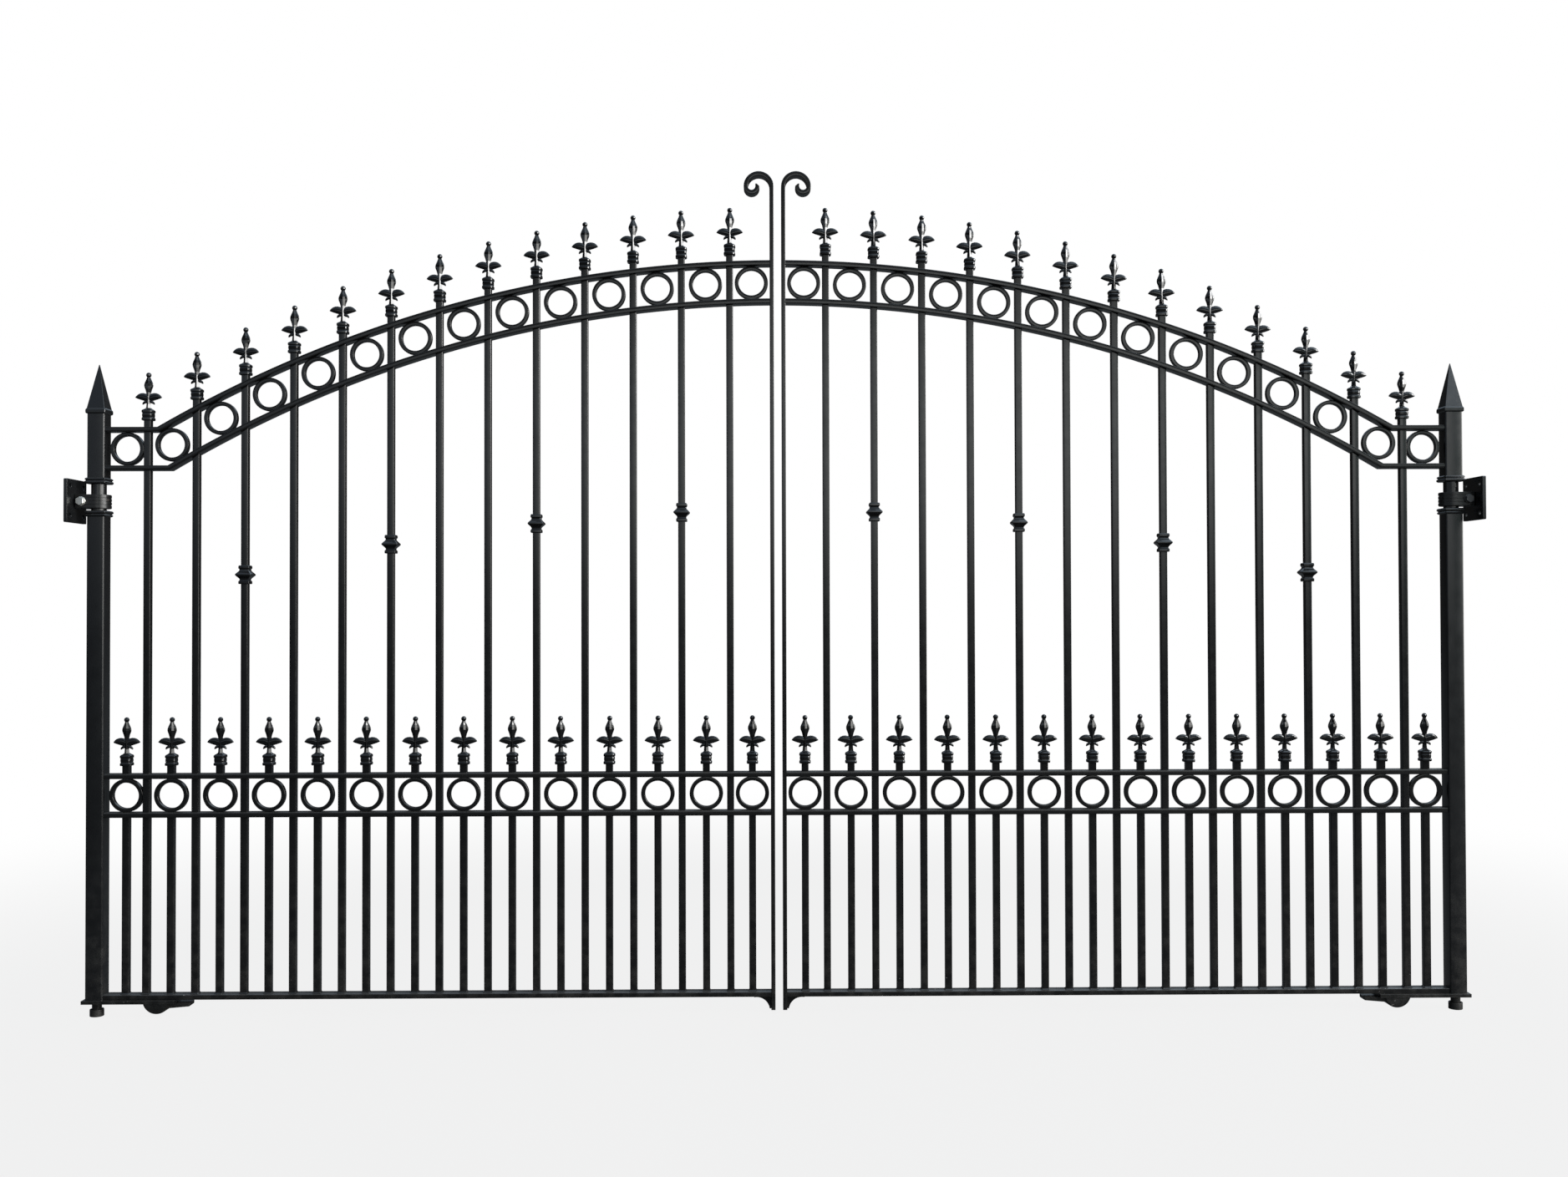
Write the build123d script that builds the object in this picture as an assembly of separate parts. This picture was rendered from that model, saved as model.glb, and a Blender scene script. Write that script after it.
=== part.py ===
from build123d import *
import os
from math import sqrt

# A pair of black iron driveway gate leaves that meet in the middle under one long arch.
# Each leaf hangs on a square heel post, held at a turned journal by a strap hinge on the wall
# and carried on the ground by a pin in a round cup.
# Millimetres. The origin is on the ground at the left swing axis, under the left pivot seat.
# X runs along the closed gate to the right leaf, Y into the yard, Z up.

# Clear width between the two walls, and the leaf's layout from heel post to meeting stile
gateway_width = 4073.0
post_width = 50.0
first_bar_offset = 117.5
bar_spacing = 140.0
last_bar_offset = 117.0
stile_thickness = 12.0
meeting_gap = 22.0

# Flat-bar rails and their levels above the ground
rail_thickness = 14.0
rail_depth = 40.0
bottom_rail_level = 49.0
mid_band_level = 572.0
heel_rail_top = 1701.0
crown_top = 2184.5
heel_level_run = 150.0

# Square bars and the holes they pass through
bar_width = 20.0
bar_fit = 0.2
bar_stub = 20.0
tang_stub = 23.0

# Rings in the arch band and the mid band
ring_diameter = 97.0
ring_wall = 11.5
ring_depth = 16.0
ring_seat_gap = 0.3

# Cast finials
finial_height = 140.0
finial_collar_width = 33.0
finial_collar_height = 40.0
fleur_span = 78.0
fleur_thickness = 10.0
neck_sink = 6.0
rib_width = 11.0
rib_depth = 14.0
blade_width = 27.0
blade_depth = 16.0
ball_diameter = 15.0
collar_shares = [
    (0.90, 0.00),
    (1.00, 0.04),
    (1.00, 0.14),
    (0.90, 0.20),
    (0.88, 0.52),
    (1.00, 0.58),
    (1.00, 0.68),
    (0.90, 0.75),
    (0.56, 0.84),
    (0.42, 1.00),
]
neck_share = 0.155
neck_top_share = 0.315
curl_tip_shares = (0.48, 0.345)
curl_end_shares = (0.20, 0.382)
wing_root_shares = (0.20, 0.405)
wing_under_shares = (0.62, 0.432)
wing_tip_shares = (1.00, 0.482)
wing_shoulder_shares = (0.90, 0.535)
wing_top_shares = (0.60, 0.567)
blade_shares = [(0.56, 0.565), (1.00, 0.72), (0.77, 0.815), (0.36, 0.908)]
rib_top_share = 0.68

# Moulded bushes slipped over some of the bars, on a curve of their own, and the bars for each bush
bush_height = 54.0
bush_width = 46.0
bush_bar_count = 3
bush_crown_level = 1457.0
bush_curve_radius = 6574.0
bush_shares = [
    (0.62, 0.00),
    (0.68, 0.04),
    (0.68, 0.15),
    (0.56, 0.21),
    (0.56, 0.27),
    (0.80, 0.38),
    (1.00, 0.475),
    (1.00, 0.525),
    (0.80, 0.62),
    (0.58, 0.73),
    (0.58, 0.79),
    (0.68, 0.84),
    (0.68, 0.95),
    (0.60, 1.00),
]

# Heel post, its journal between two collars, and its pointed cap
post_corner_radius = 5.0
journal_diameter = 42.0
journal_length = 77.0
journal_level = 1459.0
post_collar_width = 61.0
post_collar_height = 18.0
post_collar_shares = [
    (0.82, 0.00),
    (0.92, 0.08),
    (0.97, 0.28),
    (0.89, 0.42),
    (1.00, 0.62),
    (1.00, 0.80),
    (0.90, 1.00),
]
post_top = 1739.0
cap_width = 57.0
cap_height = 145.0
cap_shares = [(0.88, 0.00), (1.00, 0.03), (1.00, 0.075), (0.90, 0.11), (0.03, 1.00)]

# Meeting stile, its scroll and the foot that meets the ground stop
stile_foot_level = 11.0
scroll_level = 2401.0
scroll_outer_radius = 37.5
scroll_inner_radius = 17.0
scroll_tip_length = 7.0
scroll_tip_share = 0.35
gusset_width = 50.0
gusset_height = 37.0
gusset_thickness = 12.0
gusset_lip = 5.0
gusset_hollow_share = 0.36

# Pivot arm under the heel, its pin and the release housing
arm_thickness = 10.0
arm_depth = 60.0
arm_heel_overhang = 9.0
arm_length = 265.0
pin_diameter = 27.0
pin_length = 24.7
pin_round = 6.0
housing_place = 179.0
housing_radius = 40.0
housing_height = 30.0
housing_depth = 50.0
housing_round = 5.0
nose_length = 93.0
nose_depth = 44.0
nose_root_drop = 17.0
nose_tip_drop = 9.0
nose_round = 4.0

# Ground cup of the pin
seat_diameter = 39.0
seat_height = 20.0
dish_depth = 6.0
dish_clearance = 2.0

# Wall hinge at the journal
strap_height = 40.0
strap_thickness = 13.0
strap_lift = 6.0
journal_clearance = 0.5
reed_count = 4
reed_depth = 1.4
reed_groove_share = 0.28
strap_end_gap = 2.0
lug_reach = 25.5
lug_side_fit = 0.2
plate_reach = 56.0
plate_thickness = 10.0
plate_depth = 125.0
plate_shift = 17.5
plate_height = 125.0
plate_hole_depth_spacing = 85.0
plate_hole_height_spacing = 85.0
plate_hole_diameter = 14.0
plate_corner_radius = 4.0
bolt_reach = 37.0
bolt_diameter = 14.0
bolt_fit = 0.25
bolt_head_flats = 22.0
bolt_head_height = 9.0
washer_diameter = 27.0
washer_thickness = 2.5
bolt_tail = 6.0

# One overrun for every cut
overrun = 5.0

# Places worked out from the driving dimensions
wall_face = plate_reach + plate_thickness
half_span = gateway_width / 2 - wall_face
post_face = post_width / 2
stile_face = half_span - meeting_gap / 2 - stile_thickness
stile_centre = stile_face + stile_thickness / 2
first_bar = post_face + first_bar_offset
bar_run = stile_face - last_bar_offset - first_bar
bay_count = round(bar_run / bar_spacing)
bar_places = [first_bar + bar_run * i / bay_count for i in range(bay_count + 1)]
bay_edges = [post_face, *bar_places, stile_face + bar_width / 2]
bay_places = [(near + far) / 2 for near, far in zip(bay_edges, bay_edges[1:])]
band_gap = ring_diameter + 2 * ring_seat_gap
upper_mid_level = mid_band_level + rail_thickness + band_gap
upper_mid_top = upper_mid_level + rail_thickness
bottom_rail_top = bottom_rail_level + rail_thickness
arch_chord = half_span - post_face - heel_level_run
arch_rise = crown_top - heel_rail_top
arch_radius = (arch_chord**2 + arch_rise**2) / (2 * arch_rise)
arch_centre_level = crown_top - arch_radius
arm_level = bottom_rail_level - arm_thickness
strap_level = journal_level + strap_lift
hinge_level = strap_level + strap_height / 2
strap_bore = journal_diameter / 2 + journal_clearance
strap_reach = strap_bore + strap_thickness


def upright(outline, depth):
    """Solid of an outline drawn in X and Z, centred on the gate's plane."""
    return extrude(Plane.XZ * make_face(outline), amount=depth / 2, both=True)


def block(x_low, x_high, depth, z_low, z_high):
    """Box between two places along X and two levels, centred on the gate's plane."""
    middle = Pos((x_low + x_high) / 2, 0, (z_low + z_high) / 2)
    return middle * Box(x_high - x_low, depth, z_high - z_low)


def moulding(shares, width, height):
    """Square-plan moulding whose four faces follow one outline of half widths and heights."""
    side = [(width / 2 * wide, height * high) for wide, high in shares]
    outline = Polyline(*side, *[(-x, z) for x, z in reversed(side)], close=True)
    front = extrude(Plane.XZ * make_face(outline), amount=width, both=True)
    across = extrude(Plane.YZ * make_face(outline), amount=width, both=True)
    return front & across


def arc_level(radius, x):
    """Height of a circle about the arch's centre at a place along X."""
    return arch_centre_level + sqrt(radius**2 - (half_span - x) ** 2)


def kink_place(radius, level):
    """Place along X where a level line meets a circle about the arch's centre."""
    return half_span - sqrt(radius**2 - (level - arch_centre_level) ** 2)


def arc_edge(radius, x_from, x_to):
    """Arc about the arch's centre between two places along X."""
    ends = [(x, arc_level(radius, x)) for x in (x_from, (x_from + x_to) / 2, x_to)]
    return ThreePointArc(*ends)


def bar_holes(low, high):
    """Square holes of the long bars between two levels."""
    width = bar_width + 2 * bar_fit
    return [block(x - width / 2, x + width / 2, width, low, high) for x in bar_places]


def arched_rail(drop):
    """Rail with a level heel end and an arched run, its top edge lowered by drop."""
    radius, level = arch_radius - drop, heel_rail_top - drop
    under_radius, under_level = radius - rail_thickness, level - rail_thickness
    top_kink = kink_place(radius, level)
    under_kink = kink_place(under_radius, under_level)
    stile_top = (stile_face, arc_level(radius, stile_face))
    stile_under = (stile_face, arc_level(under_radius, stile_face))
    outline = [
        Line((post_face, under_level), (post_face, level)),
        Line((post_face, level), (top_kink, level)),
        arc_edge(radius, top_kink, stile_face),
        Line(stile_top, stile_under),
        arc_edge(under_radius, stile_face, under_kink),
        Line((under_kink, under_level), (post_face, under_level)),
    ]
    return upright(outline, rail_depth) - bar_holes(under_level - overrun, crown_top + overrun)


def level_rail(level):
    """Straight rail between the heel post and the meeting stile."""
    return block(post_face, stile_face, rail_depth, level, level + rail_thickness)


def rail_top(x):
    """Top of the arched top rail at a place along X."""
    return heel_rail_top if x < kink_place(arch_radius, heel_rail_top) else arc_level(arch_radius, x)


def ring():
    """Ring standing in the gate's plane about its own centre."""
    bore = Cylinder(ring_diameter / 2 - ring_wall, ring_depth + 2 * overrun)
    return Rot(X=90) * (Cylinder(ring_diameter / 2, ring_depth) - bore)


def arch_ring_level(x):
    """Centre of a ring between the two arched rails."""
    drop = rail_thickness + band_gap / 2
    level = heel_rail_top - drop
    return level if x < kink_place(arch_radius - drop, level) else arc_level(arch_radius - drop, x)


def fleur():
    """Neck, curls and drooping wings of a finial, as one flat casting."""

    def at(shares):
        return (fleur_span / 2 * shares[0], finial_height * shares[1])

    neck_base = finial_collar_height - neck_sink
    neck_half = fleur_span / 2 * neck_share
    neck_top = at((neck_share, neck_top_share))
    wing_top = at(wing_top_shares)
    half = [
        Line((neck_half, neck_base), neck_top),
        ThreePointArc(neck_top, at(curl_tip_shares), at(curl_end_shares)),
        Line(at(curl_end_shares), at(wing_root_shares)),
        ThreePointArc(at(wing_root_shares), at(wing_under_shares), at(wing_tip_shares)),
        ThreePointArc(at(wing_tip_shares), at(wing_shoulder_shares), wing_top),
    ]
    foot = Line((-neck_half, neck_base), (neck_half, neck_base))
    top = Line((-wing_top[0], wing_top[1]), wing_top)
    other_half = [mirror(edge, about=Plane.YZ) for edge in half]
    return upright([foot, *half, top, *other_half], fleur_thickness)


def diamond(width, depth, level):
    """Face of diamond shape at a level, its corners to the front and the sides."""
    x, y = width / 2, depth / 2
    return Pos(0, 0, level) * make_face(Polyline((x, 0), (0, y), (-x, 0), (0, -y), close=True))


def blade():
    """Ridged leaf blade of a finial."""
    sections = [diamond(blade_width * w, blade_depth * w, finial_height * h) for w, h in blade_shares]
    return loft(sections, ruled=True)


def rib():
    """Ridge that runs up the front and back of a finial into its blade."""
    base = finial_collar_height - neck_sink
    return extrude(diamond(rib_width, rib_depth, base), amount=finial_height * rib_top_share - base)


def finial():
    """Cast finial standing on a moulded square collar."""
    ball = Pos(0, 0, finial_height - ball_diameter / 2) * Sphere(ball_diameter / 2)
    collar = moulding(collar_shares, finial_collar_width, finial_collar_height)
    return collar + fleur() + rib() + blade() + ball


def bush():
    """Moulded bush with a square hole for its bar."""
    hole = bar_width + 2 * bar_fit
    body = moulding(bush_shares, bush_width, bush_height)
    return body - block(-hole / 2, hole / 2, hole, -overrun, bush_height + overrun)


def bush_level(x):
    """Underside of a bush, which hangs on a flat curve across both leaves."""
    sag = bush_curve_radius - sqrt(bush_curve_radius**2 - (half_span - x) ** 2)
    return bush_crown_level - sag - bush_height / 2


def heel_post():
    """Square heel post with a turned journal between two moulded collars."""
    journal_top = journal_level + journal_length
    lower_collar = journal_level - post_collar_height
    upper_shaft = journal_top + post_collar_height
    shafts = [
        block(-post_face, post_face, post_width, bottom_rail_level, lower_collar),
        block(-post_face, post_face, post_width, upper_shaft, post_top),
    ]
    lower, upper = [fillet(s.edges().filter_by(Axis.Z), post_corner_radius) for s in shafts]
    collar = moulding(post_collar_shares, post_collar_width, post_collar_height)
    turned_collar = mirror(collar, about=Plane.XY)
    journal = Cylinder(journal_diameter / 2, journal_length)
    neck = Pos(0, 0, journal_level + journal_length / 2) * journal
    collars = [Pos(0, 0, lower_collar) * collar, Pos(0, 0, upper_shaft) * turned_collar]
    return lower + collars[0] + neck + collars[1] + upper


def post_cap():
    """Pointed cap with a lip that overhangs the post."""
    return Pos(0, 0, post_top) * moulding(cap_shares, cap_width, cap_height)


def half_ring(centre, radius, upper):
    """Half a turn of the scroll's bar about a centre in the gate's plane."""
    outer, inner = radius + stile_thickness / 2, radius - stile_thickness / 2
    turn = Cylinder(outer, rail_depth) - Cylinder(inner, rail_depth + 2 * overrun)
    low, high = (0, outer + overrun) if upper else (-outer - overrun, 0)
    half = (Rot(X=90) * turn) & block(-outer - overrun, outer + overrun, rail_depth, low, high)
    return Pos(centre, 0, scroll_level) * half


def meeting_stile():
    """Flat meeting stile that rolls into a scroll towards the heel."""
    stem = block(stile_face, stile_face + stile_thickness, rail_depth, stile_foot_level, scroll_level)
    outer_centre = stile_centre - scroll_outer_radius
    far_side = outer_centre - scroll_outer_radius
    inner_centre = far_side + scroll_inner_radius
    tip_centre = inner_centre + scroll_inner_radius
    tip_half = stile_thickness / 2
    tip = Polyline(
        (tip_centre - tip_half, scroll_level),
        (tip_centre + tip_half, scroll_level),
        (tip_centre - tip_half + stile_thickness * scroll_tip_share, scroll_level + scroll_tip_length),
        (tip_centre - tip_half, scroll_level + scroll_tip_length),
        close=True,
    )
    over = half_ring(outer_centre, scroll_outer_radius, True)
    under = half_ring(inner_centre, scroll_inner_radius, False)
    return stem + over + under + upright(tip, rail_depth)


def stop_foot():
    """Gusset with a hollow edge that stiffens the foot of the stile."""
    toe, foot = stile_face - gusset_width, bottom_rail_level - gusset_height
    tip = (toe, bottom_rail_level - gusset_lip)
    heel = (stile_face - gusset_lip, foot)
    hollow = (
        stile_face - gusset_width * gusset_hollow_share,
        bottom_rail_level - gusset_height * gusset_hollow_share,
    )
    outline = [
        Line((stile_face, foot), (stile_face, bottom_rail_level)),
        Line((stile_face, bottom_rail_level), (toe, bottom_rail_level)),
        Line((toe, bottom_rail_level), tip),
        ThreePointArc(tip, hollow, heel),
        Line(heel, (stile_face, foot)),
    ]
    return upright(outline, gusset_thickness)


def pivot_arm():
    """Plate under the heel with the round-ended pin that turns in the ground seat."""
    low = -post_face - arm_heel_overhang
    arm = block(low, low + arm_length, arm_depth, arm_level, bottom_rail_level)
    pin = Pos(0, 0, arm_level - pin_length / 2) * Cylinder(pin_diameter / 2, pin_length)
    return arm + fillet(pin.edges().sort_by(Axis.Z)[0], pin_round)


def release_housing():
    """Round-bellied housing with a tapered nose under the pivot arm."""
    low = arm_level - housing_height
    drum = Rot(X=90) * Cylinder(housing_radius, housing_depth)
    drum = fillet(drum.edges().filter_by(GeomType.CIRCLE), housing_round)
    near, far = housing_place - housing_radius, housing_place + housing_radius
    below_arm = block(near, far, housing_depth, low, arm_level)
    belly = Pos(housing_place, 0, low + housing_radius) * drum & below_arm
    nose_tip = housing_place + nose_length
    outline = Polyline(
        (housing_place, arm_level),
        (housing_place, arm_level - nose_root_drop),
        (nose_tip, arm_level - nose_tip_drop),
        (nose_tip, arm_level),
        close=True,
    )
    nose = upright(outline, nose_depth)
    under = nose.faces().filter_by(Axis.Y).edges().sort_by(Axis.Z)[:2]
    return belly + fillet(under, nose_round)


def pivot_seat():
    """Round ground cup with a dish for the pin."""
    cup = Pos(0, 0, seat_height / 2) * Cylinder(seat_diameter / 2, seat_height)
    dish = Pos(0, 0, seat_height - dish_depth) * Cylinder(
        pin_diameter / 2 + dish_clearance,
        dish_depth + overrun,
        align=(Align.CENTER, Align.CENTER, Align.MIN),
    )
    return cup - dish


def bolt_hole():
    """Hole of the hinge bolt through lug and strap."""
    hole = Cylinder(bolt_diameter / 2 + bolt_fit, 2 * (strap_reach + overrun))
    return Pos(-bolt_reach, 0, hinge_level) * Rot(X=90) * hole


def hinge_plate():
    """Wall plate with four fixing holes and the lug between the strap's arms."""
    foot, head = hinge_level - plate_height / 2, hinge_level + plate_height / 2
    plate = Pos(0, -plate_shift, 0) * block(-wall_face, -plate_reach, plate_depth, foot, head)
    plate = fillet(plate.edges().filter_by(Axis.X), plate_corner_radius)
    lug_depth = 2 * (strap_bore - lug_side_fit)
    lug = block(-plate_reach, -lug_reach, lug_depth, strap_level, strap_level + strap_height)
    holes = []
    for side in (-1, 1):
        for level in (-1, 1):
            place = Pos(
                -wall_face + plate_thickness / 2,
                side * plate_hole_depth_spacing / 2 - plate_shift,
                hinge_level + level * plate_hole_height_spacing / 2,
            )
            drill = Cylinder(plate_hole_diameter / 2, plate_thickness + 2 * overrun)
            holes.append(place * Rot(Y=90) * drill)
    return plate + lug - holes - bolt_hole()


def strap_section(reach, height, level):
    """Slab of the strap with a round nose about the journal, open towards the wall."""
    end = -plate_reach + strap_end_gap
    arms = block(end, 0, 2 * reach, level, level + height)
    nose = Pos(0, 0, level + height / 2) * Cylinder(reach, height)
    slot = block(end - overrun, 0, 2 * strap_bore, level - overrun, level + height + overrun)
    bore = Pos(0, 0, level + height / 2) * Cylinder(strap_bore, height + 2 * overrun)
    return arms + nose - slot - bore


def hinge_strap():
    """Strap bent round the journal, with reeds along its outer face."""
    reed_pitch = strap_height / reed_count
    reed = reed_pitch * (1 - reed_groove_share)
    body = strap_section(strap_reach - reed_depth, strap_height, strap_level)
    for number in range(reed_count):
        level = strap_level + reed_pitch * (number + reed_groove_share / 2)
        body += strap_section(strap_reach, reed, level)
    return body - bolt_hole()


def hinge_bolt():
    """Hexagon bolt with washers and nut, clamping the strap to the lug."""
    face = strap_reach
    head_base = face + washer_thickness
    shank_end = head_base + bolt_head_height + bolt_tail
    shank_length = head_base + shank_end
    lying = Pos(-bolt_reach, 0, hinge_level) * Rot(X=90)
    shank = Pos(0, 0, (head_base - shank_end) / 2) * Cylinder(bolt_diameter / 2, shank_length)
    hexagon = RegularPolygon(bolt_head_flats / 2, 6, major_radius=False)
    solids = shank
    for side in (-1, 1):
        washer = Pos(0, 0, side * (face + washer_thickness / 2))
        solids += washer * Cylinder(washer_diameter / 2, washer_thickness)
        low = head_base if side > 0 else -head_base - bolt_head_height
        solids += Pos(0, 0, low) * extrude(hexagon, amount=bolt_head_height)
    return lying * solids


def copies(piece, places):
    """Compound of one piece at several places along X, each with its own level."""
    return Compound(children=[Pos(x, 0, z) * piece for x, z in places])


def bar(x, low, high):
    """Upright square bar at a place along X between two levels."""
    return block(x - bar_width / 2, x + bar_width / 2, bar_width, low, high)


def bars():
    """Long bars from the bottom rail up to the finials."""
    return Compound(children=[bar(x, bottom_rail_top, rail_top(x) + bar_stub) for x in bar_places])


def dog_bars():
    """Short bars between the bottom rail and the mid band."""
    return Compound(children=[bar(x, bottom_rail_top, mid_band_level) for x in bay_places])


def dog_finials():
    """Finials on square stubs over the mid band."""
    piece = finial() + bar(0, -tang_stub, 0)
    return copies(piece, [(x, upper_mid_top + tang_stub) for x in bay_places])


def leaf_nodes():
    """Every piece of the left leaf by name."""
    lower_drop = rail_thickness + band_gap
    mid_holes = bar_holes(mid_band_level - overrun, upper_mid_top + overrun)
    mid_ring_level = mid_band_level + rail_thickness + band_gap / 2
    bush_places = [(x, bush_level(x)) for x in bar_places[bush_bar_count - 1 :: bush_bar_count]]
    return {
        "heel_post": heel_post(),
        "post_cap": post_cap(),
        "top_rail": arched_rail(0),
        "lower_arch_rail": arched_rail(lower_drop),
        "upper_mid_rail": level_rail(upper_mid_level) - mid_holes,
        "lower_mid_rail": level_rail(mid_band_level) - mid_holes,
        "bottom_rail": level_rail(bottom_rail_level),
        "meeting_stile": meeting_stile(),
        "stop_foot": stop_foot(),
        "long_bars": bars(),
        "dog_bars": dog_bars(),
        "arch_rings": copies(ring(), [(x, arch_ring_level(x)) for x in bay_places]),
        "mid_rings": copies(ring(), [(x, mid_ring_level) for x in bay_places]),
        "bar_finials": copies(finial(), [(x, rail_top(x) + bar_stub) for x in bar_places]),
        "dog_finials": dog_finials(),
        "bushes": copies(bush(), bush_places),
        "pivot_arm": pivot_arm(),
        "release_housing": release_housing(),
    }


def wall_nodes():
    """The fixed pieces at the left heel by name."""
    return {
        "pivot_seat": pivot_seat(),
        "hinge_plate": hinge_plate(),
        "hinge_strap": hinge_strap(),
        "hinge_bolt": hinge_bolt(),
    }


def main():
    """Write every node of the left side and its mirror image on the right."""
    os.makedirs("parts", exist_ok=True)
    middle = Plane.YZ.offset(half_span)
    for name, piece in {**leaf_nodes(), **wall_nodes()}.items():
        export_step(piece, f"parts/left_{name}.step")
        export_step(mirror(piece, about=middle), f"parts/right_{name}.step")


main()
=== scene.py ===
"""Looks of an arched double-leaf driveway gate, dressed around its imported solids."""

import logging
import math
import random
from collections.abc import Sequence
from dataclasses import dataclass
from enum import Enum

import bmesh
import bpy
from mathutils import Matrix, Vector


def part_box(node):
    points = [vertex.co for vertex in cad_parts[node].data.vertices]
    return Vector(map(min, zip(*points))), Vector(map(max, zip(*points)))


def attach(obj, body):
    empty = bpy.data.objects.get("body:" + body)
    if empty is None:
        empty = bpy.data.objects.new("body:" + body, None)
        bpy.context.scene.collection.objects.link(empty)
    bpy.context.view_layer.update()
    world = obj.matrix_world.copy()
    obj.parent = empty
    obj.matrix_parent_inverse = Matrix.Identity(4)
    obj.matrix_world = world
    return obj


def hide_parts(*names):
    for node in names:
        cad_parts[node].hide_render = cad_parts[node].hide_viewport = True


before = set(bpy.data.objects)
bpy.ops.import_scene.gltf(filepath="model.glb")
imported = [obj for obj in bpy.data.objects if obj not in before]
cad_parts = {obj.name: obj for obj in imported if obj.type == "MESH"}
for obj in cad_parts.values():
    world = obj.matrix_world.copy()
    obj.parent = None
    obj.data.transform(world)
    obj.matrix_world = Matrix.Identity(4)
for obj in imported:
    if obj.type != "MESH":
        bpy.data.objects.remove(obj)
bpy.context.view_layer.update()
log = logging.getLogger("gate")

# Lengths are in metres, and those that are multiplied by MM in millimetres.
MM = 0.001
# Distance between the two swing axes.
SPAN = 3.941
# Points nearer than this are one point.
WELD_DISTANCE = 1e-5
# Faces that meet under the flat angle are one flat, edges under the soft angle are shaded
# smooth, and edges over the crease angle are rounded.
FLAT_ANGLE = math.radians(0.6)
SOFT_ANGLE = math.radians(14.0)
CREASE_ANGLE = math.radians(34.0)
# Facets of a rounding. Three keep the flats beside it flat in the shading.
ROUND_SEGMENTS = 4
FLAT_SEGMENTS = 3
FIXED_BODY = "fixed_ironwork"
IDENTITY = Matrix.Identity(4)
AXIS_X = Vector((1.0, 0.0, 0.0)).freeze()
AXIS_Y = Vector((0.0, 1.0, 0.0)).freeze()
AXIS_Z = Vector((0.0, 0.0, 1.0)).freeze()
WHITE = (1.0, 1.0, 1.0)
Colour = tuple[float, float, float]
Point = tuple[float, float, float]
Limits = tuple[float, float]
Level = tuple[float, float]
Girth = tuple[float, float, float]
Station = tuple[float, float, float, float, float]


class Side(Enum):
    """The two leaves of the gate, as seen from the drive."""

    LEFT = "left"
    RIGHT = "right"

    @property
    def leaf(self) -> str:
        """Body that this side's leaf moves with."""
        return f"{self.value}_leaf"

    def node(self, piece: str) -> str:
        """Name of this side's node of a piece."""
        return f"{self.value}_{piece}"

    @property
    def seed(self) -> int:
        """Seed of this side's small irregularities."""
        return 11 if self is Side.LEFT else 29


class Along(Enum):
    """Axis whose edges a block has rounded."""

    X = 0
    Y = 1
    Z = 2


@dataclass(frozen=True)
class Span:
    """Box of one solid, by its lowest and highest corners."""

    low: Vector
    high: Vector

    @property
    def size(self) -> Vector:
        """Edge lengths of the box."""
        return self.high - self.low

    @property
    def centre(self) -> Vector:
        """Middle of the box."""
        return (self.high + self.low) / 2

    @property
    def foot(self) -> Vector:
        """Middle of the underside."""
        return Vector((self.centre.x, self.centre.y, self.low.z))


def solids_of(node: str) -> list[Span]:
    """Boxes of a node's separate solids.

    Args:
        node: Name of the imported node.

    Returns:
        One box for each solid, in order along X.
    """
    mesh = bmesh.new()
    mesh.from_mesh(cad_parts[node].data)
    bmesh.ops.remove_doubles(mesh, verts=mesh.verts, dist=WELD_DISTANCE)
    unseen = set(mesh.verts)
    spans = []
    while unseen:
        queue = [unseen.pop()]
        points = []
        while queue:
            vert = queue.pop()
            points.append(vert.co.copy())
            for edge in vert.link_edges:
                other = edge.other_vert(vert)
                if other in unseen:
                    unseen.remove(other)
                    queue.append(other)
        low = Vector([min(p[axis] for p in points) for axis in range(3)])
        high = Vector([max(p[axis] for p in points) for axis in range(3)])
        spans.append(Span(low, high))
    mesh.free()
    return sorted(spans, key=lambda span: span.low.x)


def raised(height: float) -> Matrix:
    """Frame straight above the origin."""
    return Matrix.Translation((0.0, 0.0, height))


def lift(height: float, wide: float, deep: float | None = None) -> Matrix:
    """Frame at a height that scales a unit section.

    Args:
        height: Level of the frame.
        wide: Half width of the section there.
        deep: Half depth of the section there, the half width if left out.

    Returns:
        The frame as a matrix.
    """
    scale = Matrix.Diagonal((wide, wide if deep is None else deep, 1.0, 1.0))
    return raised(height) @ scale


def basis(wide: Vector, deep: Vector, ahead: Vector, place: Vector) -> Matrix:
    """Frame from its three axes and its place.

    Args:
        wide: Axis of the section's width.
        deep: Axis of the section's depth.
        ahead: Direction of growth.
        place: Centre of the section.

    Returns:
        The frame as a matrix.
    """
    axes = Matrix((wide, deep, ahead)).transposed().to_4x4()
    axes.translation = place
    return axes


def in_plane(x: float, z: float, angle: float) -> Matrix:
    """Frame in the gate's plane, its width across the path and its depth along Y.

    Args:
        x: Place along X.
        z: Level.
        angle: Direction of growth, from X towards Z.

    Returns:
        The frame as a matrix.
    """
    ahead = Vector((math.cos(angle), 0.0, math.sin(angle)))
    across = Vector((math.sin(angle), 0.0, -math.cos(angle)))
    return basis(across, AXIS_Y, ahead, Vector((x, 0.0, z)))


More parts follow.
